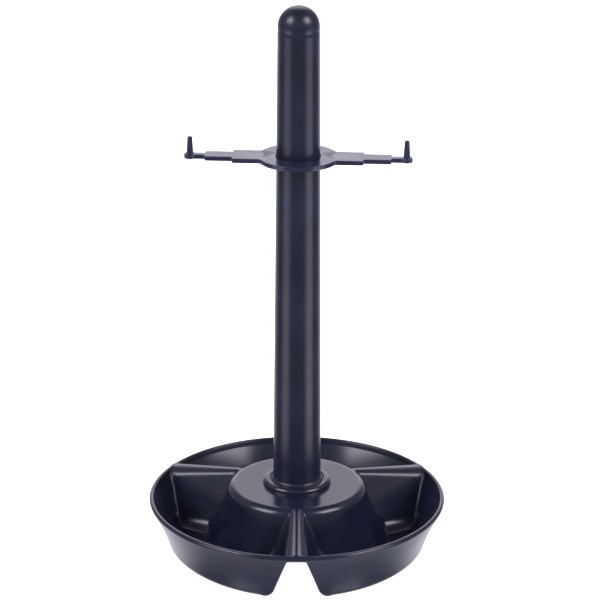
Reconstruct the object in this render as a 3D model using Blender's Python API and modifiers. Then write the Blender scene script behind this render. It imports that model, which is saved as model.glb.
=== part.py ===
"""Three-compartment serving tower: tray, post and lift-off hanger, all moulded in plastic.

The tower stands on the XY plane with the post's axis on +Z and the front divider along -Y.
"""
import math

import bmesh
import bpy
from mathutils import Matrix, Vector

MM = 0.001

# Driving dimensions, in millimetres.
TRAY_RADIUS = 108.0
TRAY_HEIGHT = 38.9
TOWER_HEIGHT = 406.9
WALL = 2.6
GAP = 0.3

# Tray: lip, wall and floor. The wall's radius grows with height by WALL_LEAN and WALL_FLARE.
LIP_RADIUS = 1.75
WALL_FOOT_RADIUS = 93.3
WALL_LEAN = 0.25
WALL_FLARE = 0.0042
WALL_TOP = 35.05
WALL_ACROSS = 2.75
FOOT_ROUND = 3.6
FOOT_ROUND_CENTRE = 90.55
FLOOR_FILLET = 12.0
FLOOR_FLAT_RADIUS = 82.4
INNER_WALL_HEIGHTS = (20.0, 28.0, 35.4)

# Tray: hub, and the raised bead that the post stands in. The flank and the hollow are (radius, z).
HUB_TOP = 48.4
HUB_RADIUS = 50.6
HUB_EDGE = 4.8
HUB_FOOT_RADIUS = 60.8
HUB_FOOT_FILLET = 8.0
HUB_FILLET_CENTRE = 67.4
HUB_FLANK = ((60.8, 6.0), (49.6, 43.6), (47.6, 52.4))
HUB_HOLLOW = ((62.8, 0.0), (58.2, 4.0), (47.0, 42.4), (43.2, 45.8))
BEAD_RADIUS = 24.7
BEAD_CREST = 52.7
BEAD_ROUND = 3.3
SOCKET_RADIUS = 19.3
SOCKET_ROUND = 1.3
SLEEVE_BORE = 17.4
LEDGE_Z = 46.0
SLEEVE_END = 26.0

# Tray: dividers, hollow below. Half widths are at z 0, and the drafts narrow both skins upwards.
DIVIDERS = 3
DIVIDER_HALF_WIDTH = 22.0
DIVIDER_DRAFT = 0.378
DIVIDER_BOTTOM = 0.8
CREST_AT_RIM = 38.4
CREST_AT_HUB = 48.0
RIDGE_INNER = 44.0
CORE_HALF_WIDTH = 18.05
CORE_DRAFT = 0.33
CORE_EDGE = 4.0
CORE_INNER = 26.0
NOTCH_TOP = 34.4
NOTCH_EDGE = 1.0
NOTCH_ROOF_RADIUS = 102.0
NOTCH_STEP = 0.3

# Post.
POST_FOOT_RADIUS = 16.95
POST_DRAFT = 0.00762
POST_FLARE_TOP = 55.8
POST_FLARE_RADIUS = 4.0
POST_FLANGE_RADIUS = 19.0
POST_FLANGE_TOP = 51.9
POST_WALL = 2.4
POST_BOTTOM = 21.0
BARB_RADIUS = 18.3
BARB_BOTTOM = 24.0
SPIGOT_TIP_RADIUS = 16.3
SNAP_SLOTS = 3
SNAP_SLOT_WIDTH = 3.0
SNAP_SLOT_TOP = 34.0
SNAP_SLOT_START = 6.0

# Hanger.
HANGER_TOP = 298.8
HANGER_THICKNESS = 3.3
HANGER_TURN = math.radians(-3.0)
RING_RADIUS = 28.5
ARM_STEPS = ((46.2, 10.9), (65.6, 6.8), (76.2, 3.0))
ARM_CORNER = 1.1
BOSS_RADIUS = 4.2
PEG_BASE_RADIUS = 2.4
PEG_TIP_RADIUS = 1.8
PEG_HEIGHT = 12.5
PEG_FOOT_FLARE = 0.4
PEG_SINK = 1.5

# Steps round the turned pieces and round an edge, and how far cutters reach past a surface.
TURN_STEPS = 60
POST_STEPS = 48
PEG_STEPS = 16
WALL_STEPS = 4
EDGE_STEPS = 3
CROWN_STEPS = 10
CUT_MARGIN = 6.0


def post_radius(z):
    """Outer radius of the post's drafted shank at height z."""
    return POST_FOOT_RADIUS - POST_DRAFT * (z - POST_FLARE_TOP)


def arc(cx, cz, radius, start, end, steps):
    """Points on an arc, angles in degrees."""
    points = []
    for i in range(steps + 1):
        a = math.radians(start + (end - start) * i / steps)
        points.append((cx + radius * math.cos(a), cz + radius * math.sin(a)))
    return points


def clear_scene():
    for obj in list(bpy.data.objects):
        bpy.data.objects.remove(obj, do_unlink=True)


def make_collection(name):
    collection = bpy.data.collections.new(name)
    bpy.context.scene.collection.children.link(collection)
    return collection


def make_material(name, colour, roughness):
    material = bpy.data.materials.new(name)
    material.use_nodes = True
    shader = material.node_tree.nodes["Principled BSDF"]
    shader.inputs["Base Color"].default_value = (*colour, 1.0)
    shader.inputs["Roughness"].default_value = roughness
    shader.inputs["Metallic"].default_value = 0.0
    return material


def add_object(name, mesh, collection, material=None):
    obj = bpy.data.objects.new(name, mesh)
    collection.objects.link(obj)
    if material:
        mesh.materials.append(material)
    return obj


def mark_cutter(obj):
    obj.hide_render = True
    obj.display_type = "WIRE"


def evaluated_mesh(obj):
    """A plain mesh of the object with its modifiers, in the object's own space."""
    bpy.context.view_layer.update()
    depsgraph = bpy.context.evaluated_depsgraph_get()
    return bpy.data.meshes.new_from_object(obj.evaluated_get(depsgraph))


def turned(name, profile, collection, steps, material=None):
    """A closed profile of (radius, z) points turned about Z, outer side first, going down."""
    mesh = bpy.data.meshes.new(name)
    on_axis = profile[0][0] == 0.0
    edges = [(i, i + 1) for i in range(len(profile) - 1)]
    if not on_axis:
        edges.append((len(profile) - 1, 0))
    mesh.from_pydata([(r * MM, 0.0, z * MM) for r, z in profile], edges, [])
    obj = add_object(name, mesh, collection, material)
    screw = obj.modifiers.new("Turn", "SCREW")
    screw.axis = "Z"
    screw.steps = steps
    screw.render_steps = steps
    screw.use_merge_vertices = True
    screw.merge_threshold = 0.00001
    screw.use_smooth_shade = True
    return obj


def add_boolean(obj, operation, cutter, solver="EXACT"):
    boolean = obj.modifiers.new(operation.title(), "BOOLEAN")
    boolean.operation = operation
    boolean.solver = solver
    boolean.object = cutter


def shade(mesh, angle):
    mesh.shade_smooth()
    mesh.set_sharp_from_angle(angle=math.radians(angle))


def wall_radius(z):
    """Radius of the flared wall's outer side at height z."""
    return WALL_FOOT_RADIUS + WALL_LEAN * z + WALL_FLARE * z * z


def outer_wall(inset):
    """The tray wall's outer side from under the lip to the foot, moved inwards by inset."""
    points = []
    for i in range(WALL_STEPS + 1):
        z = WALL_TOP + (FOOT_ROUND - WALL_TOP) * i / WALL_STEPS
        points.append((wall_radius(z), z))
    points += arc(FOOT_ROUND_CENTRE, FOOT_ROUND, FOOT_ROUND, -15.0, -90.0, EDGE_STEPS)
    return [(r - inset, max(z, 0.0)) for r, z in points]


def bowl_profile():
    """The whole tray section except the dividers: lip, wall, floor, hub, bead and sleeve."""
    lip = arc(TRAY_RADIUS - LIP_RADIUS, TRAY_HEIGHT - LIP_RADIUS, LIP_RADIUS, 180.0, -60.0, 5)
    sleeve = [(SLEEVE_BORE + WALL, HUB_TOP - WALL), (SLEEVE_BORE + WALL, SLEEVE_END),
              (SLEEVE_BORE, SLEEVE_END), (SLEEVE_BORE, LEDGE_Z), (SOCKET_RADIUS, LEDGE_Z)]
    mouth = arc(SOCKET_RADIUS + SOCKET_ROUND, BEAD_CREST - SOCKET_ROUND, SOCKET_ROUND, 180.0, 110.0, 2)
    bead = arc(BEAD_RADIUS - BEAD_ROUND, BEAD_CREST - BEAD_ROUND, BEAD_ROUND, 90.0, 0.0, EDGE_STEPS)
    bead.append((BEAD_RADIUS, HUB_TOP))
    hub_edge = arc(HUB_RADIUS - HUB_EDGE, HUB_TOP - HUB_EDGE, HUB_EDGE, 90.0, 15.0, EDGE_STEPS)
    hub_foot = arc(HUB_FILLET_CENTRE, WALL + HUB_FOOT_FILLET, HUB_FOOT_FILLET, 195.0, 270.0, EDGE_STEPS)
    floor = arc(FLOOR_FLAT_RADIUS, WALL + FLOOR_FILLET, FLOOR_FILLET, -90.0, -16.0, 4)
    inner_wall = [(wall_radius(z) - WALL_ACROSS, z) for z in INNER_WALL_HEIGHTS]
    outside = lip + outer_wall(0.0) + list(HUB_HOLLOW) + sleeve
    return outside + mouth + bead + hub_edge + hub_foot + floor + inner_wall


def ridge_room_profile(inset):
    """The ring-shaped room between the hub's flank and the outer wall, inset into both."""
    side = outer_wall(inset)
    outer = [(side[0][0], HUB_FLANK[-1][1])] + side[:-1] + [(side[-1][0], -CUT_MARGIN)]
    flank = [(HUB_FOOT_RADIUS, -CUT_MARGIN)] + list(HUB_FLANK)
    return outer + [(r - inset, z) for r, z in flank]


def crest(radius):
    """Height of a divider's top at a radius: level over the hub, then falling to the rim."""
    slope = (CREST_AT_HUB - CREST_AT_RIM) / (HUB_RADIUS - TRAY_RADIUS)
    return CREST_AT_RIM + slope * (max(radius, HUB_RADIUS) - TRAY_RADIUS)


def ridge_section(radius, top):
    """Outer skin across the front divider: two drafted flanks that run into one round crown."""
    lean = math.atan(DIVIDER_DRAFT)
    crown = (DIVIDER_HALF_WIDTH - DIVIDER_DRAFT * top) / (1.0 / math.cos(lean) - DIVIDER_DRAFT)
    start = math.degrees(lean)
    foot = DIVIDER_HALF_WIDTH - DIVIDER_DRAFT * DIVIDER_BOTTOM
    points = [(foot, DIVIDER_BOTTOM)]
    points += arc(0.0, top - crown, crown, start, 180.0 - start, CROWN_STEPS)
    points.append((-foot, DIVIDER_BOTTOM))
    return [(x * MM, -radius * MM, z * MM) for x, z in points]


def core_section(radius, top, edge):
    """Hollow across the front divider, open below, with rounded top corners."""
    lean = math.atan(CORE_DRAFT)
    cx = CORE_HALF_WIDTH - CORE_DRAFT * top - edge * (1.0 / math.cos(lean) - CORE_DRAFT)
    right = arc(cx, top - edge, edge, math.degrees(lean), 90.0, EDGE_STEPS)
    right = [(CORE_HALF_WIDTH + CORE_DRAFT * CUT_MARGIN, -CUT_MARGIN)] + right
    left = [(-x, z) for x, z in reversed(right)]
    return [(x * MM, -radius * MM, z * MM) for x, z in right + left]


def loft(bm, sections):
    """Closed solid through sections that have the same number of points."""
    rings = [[bm.verts.new(point) for point in section] for section in sections]
    count = len(rings[0])
    for first, second in zip(rings, rings[1:]):
        for i in range(count):
            j = (i + 1) % count
            bm.faces.new((first[i], first[j], second[j], second[i]))
    bm.faces.new(list(reversed(rings[0])))
    bm.faces.new(rings[-1])


def around_dividers(name, sections, collection):
    """One mesh that holds a loft along each divider."""
    bm = bmesh.new()
    loft(bm, sections)
    bmesh.ops.recalc_face_normals(bm, faces=bm.faces)
    geometry = list(bm.verts) + list(bm.edges) + list(bm.faces)
    for i in range(1, DIVIDERS):
        copy = bmesh.ops.duplicate(bm, geom=geometry)
        verts = [item for item in copy["geom"] if isinstance(item, bmesh.types.BMVert)]
        turn = Matrix.Rotation(2.0 * math.pi * i / DIVIDERS, 3, "Z")
        bmesh.ops.rotate(bm, verts=verts, cent=(0.0, 0.0, 0.0), matrix=turn)
    mesh = bpy.data.meshes.new(name)
    bm.to_mesh(mesh)
    bm.free()
    obj = add_object(name, mesh, collection)
    mark_cutter(obj)
    return obj


def divider_ridges(collection):
    """The dividers' outer shape, from inside the hub's flank to inside the outer wall."""
    sections = [ridge_section(radius, crest(radius))
                for radius in (TRAY_RADIUS + CUT_MARGIN, HUB_RADIUS, RIDGE_INNER)]
    ridges = around_dividers("divider_ridges", sections, collection)
    room = turned("divider_room", ridge_room_profile(WALL * 0.5), collection, TURN_STEPS)
    mark_cutter(room)
    add_boolean(ridges, "INTERSECT", room, "MANIFOLD")
    return ridges


def divider_cores(collection):
    """The hollow under each divider, open below, which runs out through the wall as a notch."""
    step = NOTCH_ROOF_RADIUS - NOTCH_STEP
    stations = ((TRAY_RADIUS + CUT_MARGIN, NOTCH_TOP, NOTCH_EDGE), (NOTCH_ROOF_RADIUS, NOTCH_TOP, NOTCH_EDGE),
                (step, crest(step) - WALL, CORE_EDGE), (HUB_RADIUS, CREST_AT_HUB - WALL, CORE_EDGE),
                (CORE_INNER, CREST_AT_HUB - WALL, CORE_EDGE))
    sections = [core_section(*station) for station in stations]
    return around_dividers("divider_cores", sections, collection)


def make_tray(parts, cutters, material):
    tray = turned("compartment_tray", bowl_profile(), parts, TURN_STEPS, material)
    add_boolean(tray, "UNION", divider_ridges(cutters), "MANIFOLD")
    add_boolean(tray, "DIFFERENCE", divider_cores(cutters), "MANIFOLD")
    return tray


def post_profile():
    """Hollow post, closed by its dome and open below, with a flange and a barbed spigot."""
    dome_centre = (TOWER_HEIGHT - POST_FOOT_RADIUS - POST_DRAFT * POST_FLARE_TOP) / (1.0 - POST_DRAFT)
    dome_radius = TOWER_HEIGHT - dome_centre
    outer = [(0.0, TOWER_HEIGHT)] + arc(0.0, dome_centre, dome_radius, 90.0, 0.0, 9)[1:]
    flare = arc(POST_FOOT_RADIUS + POST_FLARE_RADIUS, POST_FLARE_TOP, POST_FLARE_RADIUS, 180.0, 240.0, 4)
    flange = [(POST_FLANGE_RADIUS, POST_FLANGE_TOP), (POST_FLANGE_RADIUS, LEDGE_Z + GAP)]
    spigot_radius = SLEEVE_BORE - GAP
    spigot = [(spigot_radius, LEDGE_Z + GAP), (spigot_radius, SLEEVE_END - GAP),
              (BARB_RADIUS, SLEEVE_END - GAP), (BARB_RADIUS, BARB_BOTTOM),
              (SPIGOT_TIP_RADIUS, POST_BOTTOM)]
    bore_foot = spigot_radius - POST_WALL
    bore = [(bore_foot, POST_BOTTOM), (bore_foot, LEDGE_Z)]
    inner = arc(0.0, dome_centre, dome_radius - POST_WALL, 0.0, 90.0, 6)[:-1]
    return outer + flare + flange + spigot + bore + inner + [(0.0, TOWER_HEIGHT - POST_WALL)]


def slot_cutter(collection):
    """Bars across the spigot that free its barbs as spring fingers."""
    bm = bmesh.new()
    low = POST_BOTTOM - CUT_MARGIN
    size = Vector((BARB_RADIUS + CUT_MARGIN - SNAP_SLOT_START, SNAP_SLOT_WIDTH, SNAP_SLOT_TOP - low))
    for i in range(SNAP_SLOTS):
        turn = Matrix.Rotation(2.0 * math.pi * i / SNAP_SLOTS, 4, "Z")
        centre = Vector((size.x * 0.5 + SNAP_SLOT_START, 0.0, low + size.z * 0.5))
        place = turn @ Matrix.Translation(centre * MM) @ Matrix.Diagonal((*(size * MM), 1.0))
        bmesh.ops.create_cube(bm, size=1.0, matrix=place)
    mesh = bpy.data.meshes.new("slot_cutter")
    bm.to_mesh(mesh)
    bm.free()
    obj = add_object("slot_cutter", mesh, collection)
    mark_cutter(obj)
    return obj


def make_post(parts, cutters, material):
    post = turned("post", post_profile(), parts, POST_STEPS, material)
    add_boolean(post, "DIFFERENCE", slot_cutter(cutters))
    return post


def arm_outline():
    """Half of one arm's edge, from the ring to the boss, on the +X, +Y side."""
    points = []
    start = math.sqrt(RING_RADIUS ** 2 - ARM_STEPS[0][1] ** 2)
    points.append((start, ARM_STEPS[0][1]))
    for (end, half), (_, next_half) in zip(ARM_STEPS, ARM_STEPS[1:]):
        points += arc(end - ARM_CORNER, half - ARM_CORNER, ARM_CORNER, 90.0, 0.0, 3)
        points += arc(end + ARM_CORNER, next_half + ARM_CORNER, ARM_CORNER, 180.0, 270.0, 3)
    boss_x, half = ARM_STEPS[-1]
    meet = math.degrees(math.asin(half / BOSS_RADIUS))
    points += arc(boss_x, 0.0, BOSS_RADIUS, 180.0 - meet, 0.0, 7)
    return points


def hanger_outline():
    """The plate's whole edge, anticlockwise: two arms joined by arcs of the ring."""
    upper = arm_outline()
    lower = [(x, -y) for x, y in upper]
    right = lower + upper[-2::-1]
    root = math.degrees(math.atan2(right[-1][1], right[-1][0]))
    back = arc(0.0, 0.0, RING_RADIUS, root, 180.0 - root, 12)[1:-1]
    left = [(-x, -y) for x, y in right]
    front = [(-x, -y) for x, y in back]
    return right + back + left + front


def plate_mesh(name, outlines, thickness):
    """A flat plate with holes, made from closed 2D outlines, and welded into one body."""
    curve = bpy.data.curves.new(name, "CURVE")
    curve.dimensions = "2D"
    curve.fill_mode = "BOTH"
    curve.extrude = thickness * 0.5 * MM
    for outline in outlines:
        spline = curve.splines.new("POLY")
        spline.points.add(len(outline) - 1)
        spline.use_cyclic_u = True
        for point, (x, y) in zip(spline.points, outline):
            point.co = (x * MM, y * MM, 0.0, 1.0)
    source = bpy.data.objects.new(name, curve)
    bpy.context.scene.collection.objects.link(source)
    mesh = evaluated_mesh(source)
    bpy.data.objects.remove(source)
    bm = bmesh.new()
    bm.from_mesh(mesh)
    bmesh.ops.remove_doubles(bm, verts=bm.verts, dist=0.00001)
    bmesh.ops.recalc_face_normals(bm, faces=bm.faces)
    bm.to_mesh(mesh)
    bm.free()
    return mesh


def peg_profile():
    """Upright tapered peg with a rounded tip, its foot sunk in the plate."""
    tip = arc(0.0, PEG_HEIGHT - PEG_TIP_RADIUS, PEG_TIP_RADIUS, 90.0, 10.0, 4)[1:]
    foot = [(PEG_BASE_RADIUS, PEG_FOOT_FLARE), (PEG_BASE_RADIUS + PEG_FOOT_FLARE, 0.0),
            (PEG_BASE_RADIUS + PEG_FOOT_FLARE, -PEG_SINK)]
    return [(0.0, PEG_HEIGHT)] + tip + foot + [(0.0, -PEG_SINK)]


def make_hanger(parts, cutters, material):
    bore_radius = post_radius(HANGER_TOP - HANGER_THICKNESS) + GAP
    bore = arc(0.0, 0.0, bore_radius, 0.0, 360.0, POST_STEPS)[:-1]
    mesh = plate_mesh("hanger", [hanger_outline(), bore], HANGER_THICKNESS)
    hanger = add_object("hanger", mesh, parts, material)
    hanger.location.z = (HANGER_TOP - HANGER_THICKNESS * 0.5) * MM
    hanger.rotation_euler.z = HANGER_TURN
    for side, sign in (("left", -1.0), ("right", 1.0)):
        peg = turned("peg_" + side, peg_profile(), cutters, PEG_STEPS)
        peg.parent = hanger
        peg.location = (sign * ARM_STEPS[-1][0] * MM, 0.0, HANGER_THICKNESS * 0.5 * MM)
        mark_cutter(peg)
        add_boolean(hanger, "UNION", peg)
    shade(hanger.data, 40.0)
    return hanger


def main():
    clear_scene()
    parts = make_collection("serving_tower")
    cutters = make_collection("cutters")
    navy = (0.012, 0.015, 0.034)
    make_tray(parts, cutters, make_material("tray_plastic", navy, 0.3))
    make_post(parts, cutters, make_material("post_plastic", navy, 0.32))
    make_hanger(parts, cutters, make_material("hanger_plastic", navy, 0.28))
    bpy.context.view_layer.update()


main()
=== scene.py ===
"""Serving tower: fine meshes for the tray, post and hanger, moulded plastic, and a soft light tent.

Design sizes are in millimetres, and MM turns them into the frame's metres.
"""
import math

import bmesh
import bpy
import numpy as np
from mathutils import Matrix, Vector
from mathutils.geometry import delaunay_2d_cdt


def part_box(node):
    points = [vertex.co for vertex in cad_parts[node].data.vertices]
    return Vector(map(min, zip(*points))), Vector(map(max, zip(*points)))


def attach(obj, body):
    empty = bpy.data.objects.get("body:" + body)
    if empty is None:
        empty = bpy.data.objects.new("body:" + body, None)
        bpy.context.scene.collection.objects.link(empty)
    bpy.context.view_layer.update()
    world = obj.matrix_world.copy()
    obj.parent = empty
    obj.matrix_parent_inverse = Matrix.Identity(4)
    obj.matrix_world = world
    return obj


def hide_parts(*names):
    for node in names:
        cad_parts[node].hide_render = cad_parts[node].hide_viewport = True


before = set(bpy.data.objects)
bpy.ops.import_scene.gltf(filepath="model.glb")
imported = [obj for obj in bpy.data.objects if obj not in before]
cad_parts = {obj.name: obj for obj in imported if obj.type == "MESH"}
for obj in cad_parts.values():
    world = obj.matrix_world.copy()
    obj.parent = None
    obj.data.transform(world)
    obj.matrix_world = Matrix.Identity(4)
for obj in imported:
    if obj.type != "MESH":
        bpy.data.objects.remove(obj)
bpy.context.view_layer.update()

MM = 0.001


def node_box(name):
    """A CAD node's lowest and highest corners in millimetres."""
    low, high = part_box(name)
    return [c / MM for c in low], [c / MM for c in high]


# Driving sizes that the frame gives.
POST_LOW, POST_HIGH = node_box("post")
TOWER_HEIGHT = POST_HIGH[2]
SPIGOT_END = POST_LOW[2]
HANGER_BASE = node_box("hanger")[0][2]
BEAD_CREST = node_box("compartment_tray")[1][2]

# Tray. It repeats the CAD's section and adds the fillets.
TRAY_RADIUS = 108.0
LIP_RADIUS = 1.75
LIP_CENTRE = (TRAY_RADIUS - LIP_RADIUS, 37.15)
WALL = 2.6
WALL_SIDE = 2.75
WALL_FOOT_RADIUS = 93.3
WALL_LEAN = 0.25
WALL_FLARE = 0.0042
WALL_COSINE = 0.91
WALL_SWELL = 1.4
HUB_TOP = 48.4
HUB_RADIUS = 50.6
HUB_FLANK = (49.53, 0.254)
HUB_COSINE = 0.969
DIVIDERS = 3
HALF_WIDTH = 22.0
DRAFT = 0.378
DRAFT_COSINE = math.cos(math.atan(DRAFT))
CORE_HALF_WIDTH = 18.05
CORE_DRAFT = 0.33
CORE_COSINE = math.cos(math.atan(CORE_DRAFT))
CREST_AT_RIM = 38.4
CREST_AT_HUB = 48.0
RIDGE_END = 46.0
NOTCH_TOP = 34.4
NOTCH_INNER_RADIUS = 102.0
SOCKET_RADIUS = 19.3
SLEEVE_BORE = 17.4
LEDGE_Z = 46.0
SLEEVE_END = 26.0
SLEEVE_ROOT = 23.5
BEAD_RADIUS = 24.7
BEAD_CREASE = 0.25
BEAD_ROUND = 3.1
SOCKET_ROUND = 0.9
LIP_DROP = 1.35

# Tray fillets and rounded edges.
FILLET_FLOOR_HUB = 8.0
FILLET_FLOOR_RIDGE = 8.5
FILLET_HUB_RIDGE = 2.4
FILLET_RIDGE_END = 0.7
FILLET_FLOOR_WALL = 12.0
FILLET_RIDGE_WALL = 2.0
FILLET_LIP = 0.6
FILLET_LIP_BELOW = 0.5
ROUND_HUB = 4.8
ROUND_WALL_TOP = 0.3
ROUND_CAVITY = 2.5
ROUND_RIDGE_END = 1.0
ROUND_FOOT = 3.6
ROUND_CORE_MOUTH = 6.5
ROUND_CORE_EDGE = 0.8
ROUND_CORE_ROOF = 4.0
ROUND_NOTCH_ROOF = 1.0

# Heights between which a divider's fillet shrinks: first from the floor's size to the hub's, and then
# from that to the one at the hub's top.
LOW_FADE = (8.0, 22.0)
HIGH_FADE = (36.0, 45.0)
# Distances from a divider, within which the wall's fillet grows to the floor's, and the sharp edge of
# the divider's hollow gives way to the tray's rounded foot.
WALL_FADE = 14.0
FOOT_FADE = (1.0, 9.0)

# Rows of the tray's mesh as (from radius, to radius, step), finer where the section bends.
UPPER_ROWS = ((104.5, 91.0, 0.4), (91.0, 80.0, 0.9), (80.0, 70.0, 1.6), (70.0, 61.0, 0.9),
              (61.0, 43.0, 0.45), (43.0, 27.0, 2.0))
LOWER_ROWS = ((25.0, 43.0, 2.0), (43.0, 64.0, 0.6), (64.0, 86.0, 1.8), (86.0, 101.6, 0.45),
              (101.6, 102.4, 0.2), (102.4, 106.0, 0.4))
# Its columns beside a divider, as (from offset, to offset, step), and how many fan out beyond them.
COLUMN_OFFSETS = ((0.0, 24.0, 0.5), (24.0, 31.0, 0.9))
FAN_COLUMNS = 45
FAN_START_RADIUS = 50.0
HEADROOM = 60.0
THINNEST_WALL = 0.8

# Post.
POST_FOOT_RADIUS = 17.35
POST_DRAFT = 0.00762
FLARE_TOP = 54.6
FLARE_RADIUS = 2.2
FLANGE_RADIUS = 19.2
FLANGE_TOP = 52.4
FLANGE_EDGE = 0.3
POST_WALL = 2.4
BORE_DRAFT = 0.0075
SEAM_BELOW_DOME = 2.6
SEAM_DEPTH = 0.1
FIT_GAP = 0.3
FINGERS = 3
FINGER_TOP = 34.0
BARB_RADIUS = 18.3
BARB_TOP = 25.7
BARB_BOTTOM = 24.0
POST_COLUMNS = 144
SLOT_COLUMNS = 4

# Hanger.
PLATE = 3.3
HANGER_TURN = math.radians(-3.0)
RING_RADIUS = 28.5
ARM_STEPS = ((46.2, 10.9), (65.6, 6.8), (76.2, 3.0))
SHOULDER = 1.1
ROOT_FILLET = 2.0
BOSS_RADIUS = 4.2
BOSS_FILLET = 1.2
PLATE_EDGE = 0.5
PEG_HEIGHT = 12.5
PEG_BASE_RADIUS = 2.4
PEG_TIP_RADIUS = 1.8
PEG_FILLET = 0.6
PEG_DOME = 0.9
PIN_MARKS = ((-22.3, 1.6), (21.6, 1.6))
PIN_MARK_PROFILE = ((1.75, 0.0), (1.68, 0.05), (1.6, 0.16), (1.4, 0.2))

# Plastic, as linear colours: deep and light pigment, and the paler tone of worn edges.
NAVY = ((0.0078, 0.0098, 0.0230), (0.0125, 0.0160, 0.0360))
HANGER_NAVY = ((0.0130, 0.0160, 0.0400), (0.0200, 0.0260, 0.0600))
WORN_NAVY = (0.020, 0.027, 0.062)

# Stage, in metres, and the tent's light levels. The floor's glow is what it lights the object with.
FLOOR_RADIUS = 9.0
FLOOR_DROP = 0.0002
FLOOR_GLOW = 0.4
LOW_BOX_LIGHT = 2.0
TALL_BOX_LIGHT = 7.5
RIGHT_BOX_EXTRA = 0.2
LOW_BACKDROP_LIGHT = 2.2
HIGH_BACKDROP_LIGHT = 2.1
BELOW_LIGHT = 0.5
ROOM_LIGHT = 0.17
TENT_TINT = (1.0, 0.975, 1.08)
CAMERA_PLACE = (0.00168, -1.9134, 0.9054)
CAMERA_DOWN = math.radians(20.486)
CAMERA_ROLL = math.radians(0.25)
CAMERA_LENS = 171.5


# ---------------------------------------------------------------- mesh helpers

def new_object(name, mesh):
    obj = bpy.data.objects.new(name, mesh)
    bpy.context.scene.collection.objects.link(obj)
    return obj


def grid_faces(rows, columns, wrap_rows):
    """Quads of a grid that closes round its columns, and round its rows too if wrap_rows."""
    i = np.arange(rows if wrap_rows else rows - 1)[:, None]
    j = np.arange(columns)[None, :]
    i2, j2 = (i + 1) % rows, (j + 1) % columns
    quads = np.stack([i * columns + j, i2 * columns + j, i2 * columns + j2, i * columns + j2], axis=-1)
    return quads.reshape(-1, 4)


def mesh_from(name, points, faces):
    """Smooth-shaded mesh from points in millimetres."""
    mesh = bpy.data.meshes.new(name)
    mesh.from_pydata((np.asarray(points).reshape(-1, 3) * MM).tolist(), [], [list(f) for f in faces])
    mesh.validate()
    mesh.shade_smooth()
    return mesh


def arc(cx, cy, radius, start, end, steps):
    """Points on an arc, angles in degrees."""
    angles = np.radians(np.linspace(start, end, steps + 1))
    return [(cx + radius * math.cos(a), cy + radius * math.sin(a)) for a in angles]


def rounded(corners, steps=5):
    """Open outline through corners (x, y, radius), each corner rounded by its radius."""
    points = [np.array(corners[0][:2], float)]
    for (ax, ay, _), (bx, by, radius), (cx, cy, _) in zip(corners, corners[1:], corners[2:]):
        corner = np.array((bx, by), float)
        back = np.array((ax, ay), float) - corner
        ahead = np.array((cx, cy), float) - corner
        back /= np.linalg.norm(back)
        ahead /= np.linalg.norm(ahead)
        half = 0.5 * math.acos(max(-1.0, min(1.0, float(back @ ahead))))
        if radius == 0.0:
            points.append(corner)
            continue
        reach = radius / math.tan(half)
        start, end = corner + back * reach, corner + ahead * reach
        middle = (back + ahead) / np.linalg.norm(back + ahead)
        centre = corner + middle * radius / math.sin(half)
        for t in np.linspace(0.0, 1.0, steps + 1):
            spoke = (start - centre) * (1.0 - t) + (end - centre) * t
            points.append(centre + spoke * radius / np.linalg.norm(spoke))
    points.append(np.array(corners[-1][:2], float))
    return [tuple(p) for p in points]


# ---------------------------------------------------------------- tray

def round_union(a, b, radius):
    """Two fields joined, with a fillet where they meet. A field is negative in the solid."""
    return (np.maximum(radius, np.minimum(a, b))
            - np.hypot(np.maximum(radius - a, 0.0), np.maximum(radius - b, 0.0)))


def round_cut(a, b, radius):
    """What two fields share, with its edge rounded."""
    return (np.minimum(-radius, np.maximum(a, b))
            + np.hypot(np.maximum(radius + a, 0.0), np.maximum(radius + b, 0.0)))


def smoothstep(low, high, value):
    t = np.clip((value - low) / (high - low), 0.0, 1.0)
    return t * t * (3.0 - 2.0 * t)


def wall_radius(angle, z):
    """Outer wall radius. Its foot swells a little towards the dividers, and the swell dies out at the lip."""
    swell = WALL_SWELL * np.cos(DIVIDERS * angle) * (1.0 - smoothstep(0.0, LIP_CENTRE[1], z))
    return WALL_FOOT_RADIUS + WALL_LEAN * z + WALL_FLARE * z * z + swell


def hub_radius(z):
    return HUB_FLANK[0] + HUB_FLANK[1] * (HUB_TOP - z)


def crest(along):
    slope = (CREST_AT_HUB - CREST_AT_RIM) / (HUB_RADIUS - TRAY_RADIUS)
    return CREST_AT_RIM + slope * (np.maximum(along, HUB_RADIUS) - TRAY_RADIUS)


def ridge_field(across, along, z):
    """A divider: two drafted flanks that run into one round crown."""
    top = crest(along)
    crown = (HALF_WIDTH - DRAFT * top) / (1.0 / DRAFT_COSINE - DRAFT)
    rise = z - top + crown
    flank = (across - HALF_WIDTH + DRAFT * z) * DRAFT_COSINE
    return np.where(rise > across * DRAFT, np.hypot(across, rise) - crown, flank)


def lip_field(r, z):
    return np.hypot(r - LIP_CENTRE[0], z - LIP_CENTRE[1]) - LIP_RADIUS


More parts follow.
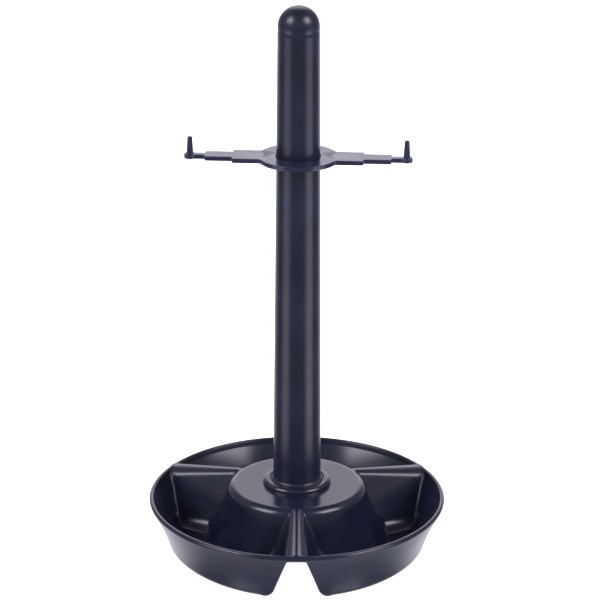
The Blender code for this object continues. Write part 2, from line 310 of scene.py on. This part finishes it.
def upper_field(r, angle, z):
    """The tray seen from above, angle measured from the nearest divider."""
    across, along = r * np.sin(angle), r * np.cos(angle)
    ridge = round_cut(ridge_field(across, along, z), RIDGE_END - r, ROUND_RIDGE_END)
    hub = round_cut((r - hub_radius(z)) * HUB_COSINE, z - HUB_TOP, ROUND_HUB)
    wall = round_cut((wall_radius(angle, z) - WALL_SIDE - r) * WALL_COSINE, z - LIP_CENTRE[1], ROUND_WALL_TOP)
    bottom = round_union(z - WALL, hub, FILLET_FLOOR_HUB)
    low = 1.0 - smoothstep(*LOW_FADE, z)
    middle = 1.0 - smoothstep(*HIGH_FADE, z)
    fillet = (FILLET_RIDGE_END + (FILLET_HUB_RIDGE - FILLET_RIDGE_END) * middle
              + (FILLET_FLOOR_RIDGE - FILLET_HUB_RIDGE) * low)
    bottom = round_union(bottom, ridge, fillet)
    fillet = FILLET_RIDGE_WALL + (FILLET_FLOOR_WALL - FILLET_RIDGE_WALL) * smoothstep(0.0, WALL_FADE, ridge)
    bowl = round_union(bottom, wall, fillet)
    return round_union(bowl, lip_field(r, z), FILLET_LIP)


def lower_field(r, angle, z):
    """The tray seen from below: outer wall, floor, hub cavity, divider cores and lip."""
    across, along = r * np.sin(angle), r * np.cos(angle)
    inside = r < NOTCH_INNER_RADIUS
    roof = np.where(inside, crest(along) - WALL, NOTCH_TOP)
    core = round_cut((across - CORE_HALF_WIDTH + CORE_DRAFT * z) * CORE_COSINE, z - roof,
                     np.where(inside, ROUND_CORE_ROOF, ROUND_NOTCH_ROOF))
    cavity = round_cut((r - hub_radius(z) + WALL_SIDE) * HUB_COSINE, z - HUB_TOP + WALL, ROUND_CAVITY)
    solid = round_cut(-z, -core, ROUND_CORE_MOUTH)
    solid = round_cut(solid, -cavity, FILLET_FLOOR_HUB + WALL)
    foot = ROUND_CORE_EDGE + (ROUND_FOOT - ROUND_CORE_EDGE) * smoothstep(*FOOT_FADE, core)
    solid = round_cut(solid, (r - wall_radius(angle, z)) * WALL_COSINE, foot)
    solid = np.maximum(solid, z - LIP_CENTRE[1] + LIP_DROP)
    return round_union(solid, lip_field(r, z), FILLET_LIP_BELOW)


def surface_height(field, r, angle, low, high, rising):
    """Height where the field changes sign between low and high, by halving."""
    low = np.broadcast_to(low, r.shape).astype(float).copy()
    high = np.broadcast_to(high, r.shape).astype(float).copy()
    for _ in range(40):
        middle = 0.5 * (low + high)
        beyond = (field(r, angle, middle) > 0.0) == rising
        high = np.where(beyond, middle, high)
        low = np.where(beyond, low, middle)
    return 0.5 * (low + high)


def spaced(start, end, step):
    """Values from start towards end in about equal steps, without end."""
    count = max(1, round(abs(end - start) / step))
    return list(np.linspace(start, end, count, endpoint=False))


def spaced_rows(stretches):
    return [value for stretch in stretches for value in spaced(*stretch)]


def lip_radii(start, end, count):
    """Radii of points round the lip, from one angle to another in degrees."""
    return [LIP_CENTRE[0] + LIP_RADIUS * math.cos(t) for t in np.radians(np.linspace(start, end, count))]


def tray_angles(radii):
    """Column angles from a divider to the middle of the compartment, for each radius.

    Beside the divider the columns run parallel to it, and beyond they fan out.
    """
    offsets = np.array(spaced_rows(COLUMN_OFFSETS) + [COLUMN_OFFSETS[-1][1]])
    fan = np.linspace(0.0, 1.0, FAN_COLUMNS + 1)[1:]
    r = np.maximum(np.asarray(radii, float), FAN_START_RADIUS)[:, None]
    beside = np.arcsin(offsets[None, :] / r)
    beyond = beside[:, -1:] + (math.pi / DIVIDERS - beside[:, -1:]) * fan[None, :]
    return np.concatenate([beside, beyond], axis=1)


def tray_section():
    """Rows of (radius, height per column) round the whole section, and their column angles."""
    upper = np.array(lip_radii(0.0, 150.0, 16) + spaced_rows(UPPER_ROWS))
    middle = rounded([(UPPER_ROWS[-1][1], HUB_TOP, 0.0), (BEAD_RADIUS, HUB_TOP, BEAD_CREASE),
                      (BEAD_RADIUS, BEAD_CREST, BEAD_ROUND),
                      (SOCKET_RADIUS, BEAD_CREST, SOCKET_ROUND), (SOCKET_RADIUS, LEDGE_Z, 0.25),
                      (SLEEVE_BORE, LEDGE_Z, 0.3), (SLEEVE_BORE, SLEEVE_END, 0.4),
                      (SLEEVE_BORE + WALL, SLEEVE_END, 0.4), (SLEEVE_BORE + WALL, HUB_TOP - WALL, 1.5),
                      (SLEEVE_ROOT, HUB_TOP - WALL, 0.0)], 8)
    lower = np.array(spaced_rows(LOWER_ROWS) + lip_radii(78.0, 8.0, 9))

    upper_angles = tray_angles(upper)
    upper_r = np.repeat(upper[:, None], upper_angles.shape[1], 1)
    top = surface_height(upper_field, upper_r, upper_angles, 0.0, HEADROOM, True)
    top[0, :] = LIP_CENTRE[1]

    lower_angles = tray_angles(lower)
    lower_r = np.repeat(lower[:, None], lower_angles.shape[1], 1)
    above = surface_height(upper_field, lower_r, lower_angles, 0.0, HEADROOM, True) - THINNEST_WALL
    inside = np.where(lower_r > LIP_CENTRE[0] - LIP_RADIUS, LIP_CENTRE[1], above)
    bottom = surface_height(lower_field, lower_r, lower_angles, -1.0, inside, False)

    middle_r = np.array([p[0] for p in middle])
    middle_angles = tray_angles(middle_r)
    middle_z = np.repeat(np.array([p[1] for p in middle])[:, None], middle_angles.shape[1], 1)
    radii = np.concatenate([upper, middle_r, lower])
    angles = np.concatenate([upper_angles, middle_angles, lower_angles])
    return radii, angles, np.concatenate([top, middle_z, bottom])


def make_tray():
    radii, angles, heights = tray_section()
    last = angles.shape[1] - 1
    side = np.concatenate([np.arange(last, 0, -1), np.arange(0, last)])
    sign = np.concatenate([-np.ones(last), np.ones(last)])
    columns = []
    for i in range(DIVIDERS):
        centre = -0.5 * math.pi + 2.0 * math.pi * i / DIVIDERS
        theta = centre + angles[:, side] * sign
        columns.append(np.stack([radii[:, None] * np.cos(theta), radii[:, None] * np.sin(theta),
                                 heights[:, side]], axis=-1))
    points = np.concatenate(columns, axis=1)
    faces = grid_faces(points.shape[0], points.shape[1], True)
    return new_object("tray", mesh_from("tray", points, faces))


# ---------------------------------------------------------------- post

def post_radius(z):
    return POST_FOOT_RADIUS - POST_DRAFT * (z - FLARE_TOP)


def lathe_points(profile, columns):
    angles = np.linspace(0.0, 2.0 * math.pi, columns, endpoint=False)
    r = np.array([p[0] for p in profile])[:, None]
    z = np.array([p[1] for p in profile])[:, None] + 0.0 * angles
    return np.stack([r * np.cos(angles), r * np.sin(angles), z], axis=-1)


def post_profile():
    """The post's outline as (radius, height) points in three stretches, and the height of the bore's end.

    The stretches are the outside from the dome to the fingers, a finger's outside, and all the rest: the
    finger's inside, the bore and its domed end. A finger's inside has a point across from each point of its
    outside.
    """
    dome_z = (TOWER_HEIGHT - POST_FOOT_RADIUS - POST_DRAFT * FLARE_TOP) / (1.0 - POST_DRAFT)
    outer = arc(0.0, dome_z, TOWER_HEIGHT - dome_z, 90.0, 0.0, 22)[1:]
    seam = dome_z - SEAM_BELOW_DOME
    outer += [(post_radius(seam + dz) - depth, seam + dz)
              for dz, depth in ((0.45, 0.0), (0.2, SEAM_DEPTH), (-0.2, SEAM_DEPTH), (-0.45, 0.0))]
    outer += [(post_radius(z), z) for z in np.linspace(seam - 3.0, FLARE_TOP + 2.0, 44)]
    outer += arc(POST_FOOT_RADIUS + FLARE_RADIUS, FLARE_TOP, FLARE_RADIUS, 180.0, 250.0, 8)
    spigot = SLEEVE_BORE - FIT_GAP
    shoulder = LEDGE_Z + FIT_GAP
    outer += rounded([(FLANGE_RADIUS - FLANGE_EDGE, FLANGE_TOP, 0.0),
                      (FLANGE_RADIUS, FLANGE_TOP - FLANGE_EDGE, 0.2), (FLANGE_RADIUS, shoulder, 0.3),
                      (spigot, shoulder, 0.3), (spigot, LEDGE_Z - 1.0, 0.0)], 3)[1:]

    bore = spigot - POST_WALL
    finger = rounded([(spigot, FINGER_TOP, 0.0), (spigot, BARB_TOP, 0.2), (BARB_RADIUS, BARB_TOP, 0.3),
                      (BARB_RADIUS, BARB_BOTTOM, 0.3), (spigot - 0.8, SPIGOT_END, 0.3),
                      (bore, SPIGOT_END, 0.0)], 3)[:-1]
    inner_finger = [(bore + 0.3, SPIGOT_END)] + [(bore, max(z, SPIGOT_END + 0.3)) for _, z in finger[-2::-1]]
    inner = [(bore - BORE_DRAFT * (z - FINGER_TOP), z) for z in np.linspace(FINGER_TOP + 12.0, dome_z, 30)]
    bore_end = arc(0.0, dome_z, inner[-1][0], 0.0, 90.0, 12)[1:-1]
    return outer, finger, inner_finger + inner + bore_end, dome_z + inner[-1][0]


def slot_walls(slot, outside, inside):
    """Faces that close each slot between the fingers: its two sides, then its roof.

    outside and inside give the first vertex of each ring of the finger's two faces, from root to tip.
    """
    quads = []
    for k in range(len(outside) - 1):
        for column in range(POST_COLUMNS):
            before = (column - 1) % POST_COLUMNS in slot
            here = column in slot
            if before == here:
                continue
            a, b = outside[k] + column, outside[k + 1] + column
            c, d = inside[k + 1] + column, inside[k] + column
            quads.append((a, b, c, d) if here else (d, c, b, a))
    for column in slot:
        after = (column + 1) % POST_COLUMNS
        quads.append((outside[0] + column, inside[0] + column, inside[0] + after, outside[0] + after))
    return quads


def make_post():
    """Lathe from the dome's outside down to the snap fingers and up the bore, with slots left open."""
    outer, finger, rest, bore_top = post_profile()
    profile = outer + finger + rest
    points = lathe_points(profile, POST_COLUMNS).reshape(-1, 3)
    first, span = len(outer), len(finger)
    half = SLOT_COLUMNS // 2
    slot = {(c + k * POST_COLUMNS // FINGERS) % POST_COLUMNS
            for k in range(FINGERS) for c in range(-half, half)}
    quads = []
    for quad in grid_faces(len(profile), POST_COLUMNS, False).tolist():
        row, column = divmod(quad[0], POST_COLUMNS)
        if not (first <= row < first + 2 * span - 1 and column in slot):
            quads.append(tuple(quad))
    outside = [(first + k) * POST_COLUMNS for k in range(span)]
    inside = [(first + 2 * span - 1 - k) * POST_COLUMNS for k in range(span)]
    quads += slot_walls(slot, outside, inside)

    count = len(points)
    points = np.concatenate([points, [[0.0, 0.0, TOWER_HEIGHT], [0.0, 0.0, bore_top]]])
    last = (len(profile) - 1) * POST_COLUMNS
    for column in range(POST_COLUMNS):
        after = (column + 1) % POST_COLUMNS
        quads.append((count, column, after))
        quads.append((count + 1, last + after, last + column))
    return new_object("post_tube", mesh_from("post_tube", points, quads))


# ---------------------------------------------------------------- hanger

def arm_edge():
    """Half of one arm's edge from the ring's fillet to the middle of the boss, on the +X, +Y side."""
    root_y = ARM_STEPS[0][1] + ROOT_FILLET
    root_x = math.sqrt((RING_RADIUS + ROOT_FILLET) ** 2 - root_y ** 2)
    start = 180.0 + math.degrees(math.atan2(root_y, root_x))
    points = arc(root_x, root_y, ROOT_FILLET, start, 270.0, 5)
    for (end, width), (_, following) in zip(ARM_STEPS, ARM_STEPS[1:]):
        points += arc(end - SHOULDER, width - SHOULDER, SHOULDER, 90.0, 0.0, 5)
        points += arc(end + SHOULDER, following + SHOULDER, SHOULDER, 180.0, 270.0, 5)
    boss_x, neck = ARM_STEPS[-1]
    throat_y = neck + BOSS_FILLET
    throat_x = boss_x - math.sqrt((BOSS_RADIUS + BOSS_FILLET) ** 2 - throat_y ** 2)
    meet = math.degrees(math.atan2(throat_y, throat_x - boss_x))
    points += arc(throat_x, throat_y, BOSS_FILLET, 270.0, meet + 180.0, 4)[:-1]
    points += arc(boss_x, 0.0, BOSS_RADIUS, meet, 0.0, 16)
    return points


def plate_edge():
    """The plate's whole edge, anticlockwise."""
    upper = arm_edge()
    right = [(x, -y) for x, y in upper] + upper[-2::-1]
    root = math.degrees(math.atan2(right[-1][1], right[-1][0]))
    back = arc(0.0, 0.0, RING_RADIUS, root, 180.0 - root, 40)[1:-1]
    half = right + back
    return np.array(half + [(-x, -y) for x, y in half])


def inset(loop, distance):
    """A closed anticlockwise loop moved to its left by distance."""
    ahead = np.roll(loop, -1, axis=0) - loop
    ahead /= np.linalg.norm(ahead, axis=1)[:, None]
    behind = np.roll(ahead, 1, axis=0)
    tangent = ahead + behind
    tangent /= np.linalg.norm(tangent, axis=1)[:, None]
    cosine = np.maximum(np.sum(tangent * ahead, axis=1), 0.5)
    return loop + np.stack([-tangent[:, 1], tangent[:, 0]], axis=1) * (distance / cosine)[:, None]


def circle(cx, cy, radius, count, clockwise=False):
    angles = np.linspace(0.0, 2.0 * math.pi, count, endpoint=False)
    if clockwise:
        angles = -angles
    return np.stack([cx + radius * np.cos(angles), cy + radius * np.sin(angles)], axis=1)


class Builder:
    """Collects rings of vertices and the faces between them in one bmesh."""

    def __init__(self):
        self.bm = bmesh.new()

    def ring(self, loop, z):
        return [self.bm.verts.new((x * MM, y * MM, z * MM)) for x, y in loop]

    def skin(self, first, second):
        count = len(first)
        for i in range(count):
            j = (i + 1) % count
            self.bm.faces.new((first[i], first[j], second[j], second[i]))

    def fan(self, ring, x, y, z):
        tip = self.bm.verts.new((x * MM, y * MM, z * MM))
        for i in range(len(ring)):
            self.bm.faces.new((ring[i], ring[(i + 1) % len(ring)], tip))

    def fill(self, rings):
        """Flat face inside the first ring and outside the others, as triangles."""
        verts = [vert for ring in rings for vert in ring]
        points = [Vector((vert.co.x / MM, vert.co.y / MM)) for vert in verts]
        edges, first = [], 0
        for ring in rings:
            count = len(ring)
            edges += [(first + i, first + (i + 1) % count) for i in range(count)]
            first += count
        _, _, faces, origins, _, _ = delaunay_2d_cdt(points, edges, [], 0, 0.00001)
        for face in faces:
            corners = [origins[i][0] for i in face]
            centre = sum((points[i] for i in corners), Vector((0.0, 0.0))) / len(corners)
            if inside_edges(centre, points, edges):
                self.bm.faces.new([verts[i] for i in corners])


def inside_edges(point, points, edges):
    """Whether a point is inside closed loops, by counting the edges that a ray along +X crosses."""
    crossings = 0
    for a, b in edges:
        (ax, ay), (bx, by) = points[a], points[b]
        if (ay > point.y) != (by > point.y):
            crossings += ax + (point.y - ay) * (bx - ax) / (by - ay) > point.x
    return crossings % 2 == 1


def rounded_rim(builder, loop, steps=5, support=0.2):
    """Side skin of a plate round a loop, from the flat of its top to the flat of its underside."""
    stations = [(PLATE_EDGE + support, PLATE)]
    for t in np.linspace(90.0, 0.0, steps + 1):
        a = math.radians(t)
        stations.append((PLATE_EDGE * (1.0 - math.cos(a)), PLATE - PLATE_EDGE * (1.0 - math.sin(a))))
    stations += [(d, PLATE - z) for d, z in reversed(stations)]
    rings = [builder.ring(inset(loop, d), z) for d, z in stations]
    for first, second in zip(rings, rings[1:]):
        builder.skin(first, second)
    return rings[0], rings[-1]


def peg(builder, cx):
    """Tapered peg with a filleted foot and a domed tip, rising from a ring in the plate's top."""
    profile = [(PEG_BASE_RADIUS + PEG_FILLET * (1.0 - math.sin(a)), PLATE + PEG_FILLET * (1.0 - math.cos(a)))
               for a in np.radians(np.linspace(0.0, 82.0, 7))]
    top = PLATE + PEG_HEIGHT
    profile += [(PEG_TIP_RADIUS + 0.12, top - 3.0), (PEG_TIP_RADIUS, top - PEG_DOME)]
    profile += [(PEG_TIP_RADIUS - PEG_DOME * (1.0 - math.cos(a)), top - PEG_DOME * (1.0 - math.sin(a)))
                for a in np.radians((22.0, 45.0, 68.0, 90.0))]
    rings = [builder.ring(circle(cx, 0.0, radius, 32), z) for radius, z in profile]
    for first, second in zip(rings, rings[1:]):
        builder.skin(first, second)
    builder.fan(rings[-1], cx, 0.0, top)
    return rings[0]


def pin_mark(builder, cx, cy):
    """Shallow round ejector mark sunk in the plate's top."""
    rings = [builder.ring(circle(cx, cy, radius, 28), PLATE - depth) for radius, depth in PIN_MARK_PROFILE]
    for first, second in zip(rings, rings[1:]):
        builder.skin(first, second)
    builder.fan(rings[-1], cx, cy, PLATE - PIN_MARK_PROFILE[-1][1])
    return rings[0]


def make_hanger():
    builder = Builder()
    outer_top, outer_low = rounded_rim(builder, plate_edge())
    bore = post_radius(HANGER_BASE) + FIT_GAP
    bore_top, bore_low = rounded_rim(builder, circle(0.0, 0.0, bore, 96, clockwise=True))
    pegs = [peg(builder, side * ARM_STEPS[-1][0]) for side in (-1.0, 1.0)]
    marks = [pin_mark(builder, x, y) for x, y in PIN_MARKS]
    builder.fill([outer_top, bore_top] + pegs + marks)
    builder.fill([outer_low, bore_low])
    bmesh.ops.recalc_face_normals(builder.bm, faces=builder.bm.faces)
    place = Matrix.Translation((0.0, 0.0, HANGER_BASE * MM)) @ Matrix.Rotation(HANGER_TURN, 4, "Z")
    builder.bm.transform(place)
    mesh = bpy.data.meshes.new("hanger_plate")
    builder.bm.to_mesh(mesh)
    builder.bm.free()
    mesh.shade_smooth()
    return new_object("hanger_plate", mesh)


# ---------------------------------------------------------------- materials

class Nodes:
    """Short calls for one node tree."""

    def __init__(self, tree):
        self.tree = tree

    def add(self, kind, **settings):
        node = self.tree.nodes.new(kind)
        for key, value in settings.items():
            if key in node.inputs:
                node.inputs[key].default_value = value
            else:
                setattr(node, key, value)
        return node

    def link(self, source, target):
        self.tree.links.new(source, target)

    def noise(self, vector, scale, detail, roughness=0.5):
        node = self.add("ShaderNodeTexNoise", Scale=scale, Detail=detail, Roughness=roughness)
        self.link(vector, node.inputs["Vector"])
        return node.outputs["Fac"]

    def ramp(self, value, stops, interpolation="EASE"):
        node = self.add("ShaderNodeValToRGB")
        node.color_ramp.interpolation = interpolation
        elements = node.color_ramp.elements
        while len(elements) < len(stops):
            elements.new(0.5)
        for element, (position, level) in zip(elements, stops):
            element.position = position
            element.color = (level, level, level, 1.0)
        self.link(value, node.inputs["Fac"])
        return node.outputs["Color"]

    def math(self, operation, a, b=None, clamp=False):
        node = self.tree.nodes.new("ShaderNodeMath")
        node.operation = operation
        node.use_clamp = clamp
        for socket, value in zip(node.inputs, (a, b)):
            if value is None:
                continue
            if isinstance(value, (int, float)):
                socket.default_value = value
            else:
                self.link(value, socket)
        return node.outputs[0]


def moulded_plastic(name, pigments, roughness, seed):
    """Satin-gloss coloured plastic: mottled pigment, uneven gloss, orange peel, fine scuffs, worn edges."""
    deep, light = pigments
    material = bpy.data.materials.new(name)
    material.use_nodes = True
    n = Nodes(material.node_tree)
    shader = material.node_tree.nodes["Principled BSDF"]
    place = n.add("ShaderNodeMapping", Location=(seed, seed * 0.7, seed * 1.3))
    n.link(n.add("ShaderNodeTexCoord").outputs["Object"], place.inputs["Vector"])
    here = place.outputs["Vector"]

    cloud = n.noise(here, 34.0, 3.0)
    speck = n.noise(here, 1900.0, 2.0)
    mottle = n.math("ADD", n.math("MULTIPLY", cloud, 0.9), n.math("MULTIPLY", speck, 0.1))
    pigment = n.add("ShaderNodeMixRGB", Color1=(*deep, 1.0), Color2=(*light, 1.0))
    n.link(n.ramp(mottle, ((0.32, 0.0), (0.68, 1.0))), pigment.inputs["Fac"])
    worn = n.ramp(n.add("ShaderNodeNewGeometry").outputs["Pointiness"], ((0.53, 0.0), (0.62, 1.0)))
    edge = n.add("ShaderNodeMixRGB", Color2=(*WORN_NAVY, 1.0))
    n.link(n.math("MULTIPLY", worn, 0.35), edge.inputs["Fac"])
    n.link(pigment.outputs["Color"], edge.inputs["Color1"])
    n.link(edge.outputs["Color"], shader.inputs["Base Color"])

    stretch = n.add("ShaderNodeMapping", Scale=(1.0, 1.0, 0.08), Rotation=(0.05, 0.03, 0.0))
    n.link(here, stretch.inputs["Vector"])
    scuff = n.ramp(n.noise(stretch.outputs["Vector"], 900.0, 3.0, 0.62), ((0.6, 0.0), (0.76, 1.0)))
    uneven = n.math("MULTIPLY", n.noise(here, 70.0, 4.0), 0.1)
    uneven = n.math("ADD", uneven, n.math("MULTIPLY", scuff, 0.02))
    n.link(n.math("ADD", uneven, roughness), shader.inputs["Roughness"])

    peel = n.add("ShaderNodeBump", Strength=0.06, Distance=0.00010)
    n.link(n.noise(here, 420.0, 2.0), peel.inputs["Height"])
    grain = n.add("ShaderNodeBump", Strength=0.06, Distance=0.00002)
    n.link(n.noise(here, 2600.0, 2.0), grain.inputs["Height"])
    n.link(peel.outputs["Normal"], grain.inputs["Normal"])
    n.link(grain.outputs["Normal"], shader.inputs["Normal"])
    shader.inputs["IOR"].default_value = 1.5
    return material


def finish_piece(obj, material, body, node):
    obj.data.materials.append(material)
    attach(obj, body)
    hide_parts(node)


def make_pieces():
    finish_piece(make_tray(), moulded_plastic("moulded_tray", NAVY, 0.15, 0.0),
                 "tray", "compartment_tray")
    finish_piece(make_post(), moulded_plastic("moulded_post", NAVY, 0.24, 3.1),
                 "post", "post")
    finish_piece(make_hanger(), moulded_plastic("moulded_hanger", HANGER_NAVY, 0.18, 5.7),
                 "hanger", "hanger")


# ---------------------------------------------------------------- stage, light and camera

def make_floor():
    """Pale floor disc. It looks white, lights the object from below, and doesn't mirror in it."""
    bm = bmesh.new()
    bmesh.ops.create_circle(bm, cap_ends=True, segments=96, radius=FLOOR_RADIUS)
    mesh = bpy.data.meshes.new("floor")
    bm.to_mesh(mesh)
    bm.free()
    floor = new_object("floor", mesh)
    floor.location.z = -FLOOR_DROP
    floor.visible_glossy = False
    floor.visible_shadow = False
    material = bpy.data.materials.new("pale_floor")
    material.use_nodes = True
    shader = material.node_tree.nodes["Principled BSDF"]
    shader.inputs["Base Color"].default_value = (0.9, 0.9, 0.9, 1.0)
    shader.inputs["Roughness"].default_value = 0.8
    shader.inputs["Emission Color"].default_value = (1.0, 1.0, 1.0, 1.0)
    n = Nodes(material.node_tree)
    seen = n.add("ShaderNodeLightPath").outputs["Is Camera Ray"]
    glow = n.math("ADD", n.math("MULTIPLY", seen, 1.0 - FLOOR_GLOW), FLOOR_GLOW)
    n.link(glow, shader.inputs["Emission Strength"])
    floor.data.materials.append(material)


def make_tent():
    """Light tent: a soft box on each side of the camera, low and tall, a backdrop behind, and a dim room."""
    world = bpy.data.worlds.new("tent")
    bpy.context.scene.world = world
    world.use_nodes = True
    n = Nodes(world.node_tree)
    background = world.node_tree.nodes["Background"]
    split = n.add("ShaderNodeSeparateXYZ")
    n.link(n.add("ShaderNodeTexCoord").outputs["Generated"], split.inputs["Vector"])
    x, y, z = split.outputs
    azimuth = n.math("DIVIDE", n.math("ARCTAN2", n.math("ABSOLUTE", x), n.math("MULTIPLY", y, -1.0)), math.pi)
    height = n.math("ADD", n.math("DIVIDE", n.math("ARCSINE", z), math.pi), 0.5)

    def around(*stops):
        """Brightness against degrees from the camera's side, the same to the left and the right."""
        return n.ramp(azimuth, [(degrees / 180.0, value) for degrees, value in stops])

    def upward(*stops):
        """Brightness against degrees above the horizon."""
        return n.ramp(height, [(degrees / 180.0 + 0.5, value) for degrees, value in stops])

    def times(a, b):
        return n.math("MULTIPLY", a, b)

    boxes = around((38, 0.0), (48, 1.0), (74, 1.0), (84, 0.0))
    low_box = upward((-60, 0.0), (-45, 1.0), (-18, 1.0), (-8, 0.1), (6, 0.04), (16, 0.1), (24, 0.0))
    tall_box = upward((21, 0.0), (28, 1.0), (44, 1.0), (58, 0.0))
    wide = around((112, 0.0), (150, 1.0))
    low_backdrop = upward((-70, 0.3), (-20, 0.45), (-5, 0.3), (8, 0.0))
    narrow = around((148, 0.1), (166, 1.0))
    high_backdrop = upward((-2, 0.0), (8, 0.6), (16, 0.95), (22, 0.57), (27, 0.57), (35, 1.0), (42, 1.7),
                           (50, 0.6), (60, 0.1))
    below = upward((-75, 1.0), (-40, 0.0))
    rightward = n.math("ADD", times(x, RIGHT_BOX_EXTRA), 1.0)

    light = times(times(boxes, low_box), times(rightward, LOW_BOX_LIGHT))
    for part in (times(times(boxes, tall_box), TALL_BOX_LIGHT),
                 times(times(wide, low_backdrop), LOW_BACKDROP_LIGHT),
                 times(times(narrow, high_backdrop), HIGH_BACKDROP_LIGHT),
                 times(below, BELOW_LIGHT), ROOM_LIGHT):
        light = n.math("ADD", light, part)
    tint = n.add("ShaderNodeMixRGB", blend_type="MULTIPLY", Fac=1.0, Color2=(*TENT_TINT, 1.0))
    n.link(light, tint.inputs["Color1"])
    seen = n.add("ShaderNodeLightPath").outputs["Is Camera Ray"]
    mix = n.add("ShaderNodeMixRGB", Color2=(1.0, 1.0, 1.0, 1.0))
    n.link(seen, mix.inputs["Fac"])
    n.link(tint.outputs["Color"], mix.inputs["Color1"])
    n.link(mix.outputs["Color"], background.inputs["Color"])
    background.inputs["Strength"].default_value = 1.0


def make_camera():
    camera = bpy.data.cameras.new("camera")
    camera.lens = CAMERA_LENS
    camera.sensor_width = 36.0
    camera.clip_start = 0.05
    camera.clip_end = 60.0
    obj = new_object("camera", camera)
    pitch = Matrix.Rotation(math.radians(90.0) - CAMERA_DOWN, 4, "X")
    obj.matrix_world = Matrix.Translation(CAMERA_PLACE) @ pitch @ Matrix.Rotation(CAMERA_ROLL, 4, "Z")
    bpy.context.scene.camera = obj


bpy.context.scene.view_settings.view_transform = "Standard"
make_camera()
make_pieces()
make_floor()
make_tent()
